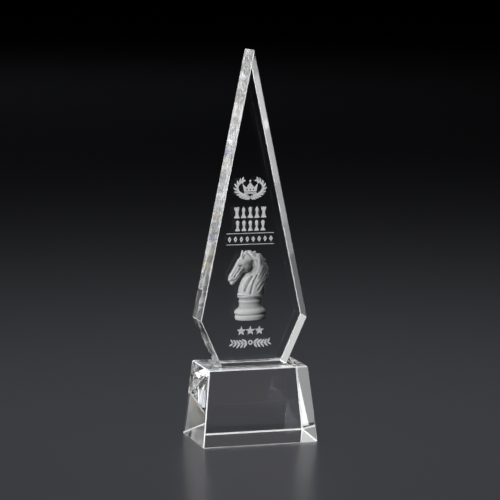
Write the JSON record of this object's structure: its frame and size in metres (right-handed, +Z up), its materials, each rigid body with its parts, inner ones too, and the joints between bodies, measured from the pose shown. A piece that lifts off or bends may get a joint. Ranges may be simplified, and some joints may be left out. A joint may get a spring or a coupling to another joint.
{
  "type": "crystal award",
  "caption": "Clear crystal award: a tall pointed spire blade bonded upright on a tapered crystal base, with artwork engraved inside the spire.",
  "frame": {"origin": "centre of the underside of the base, on the surface that the award stands on", "axes": "+Z up, +X to the right as the award is read, the engraved front faces -Y"},
  "size_m": [0.1228, 0.0848, 0.4053],
  "materials": {
    "spire_crystal": "clear optical crystal, polished on every face, with small bright arris chamfers",
    "clear_adhesive": "clear UV-cured adhesive, index-matched to the crystal",
    "base_crystal": "clear optical crystal, polished, with small bright arris chamfers"
  },
  "bodies": {
    "root": {"crystal_spire": "spire_crystal", "adhesive_film": "clear_adhesive", "crystal_base": "base_crystal"}
  },
  "joints": []
}
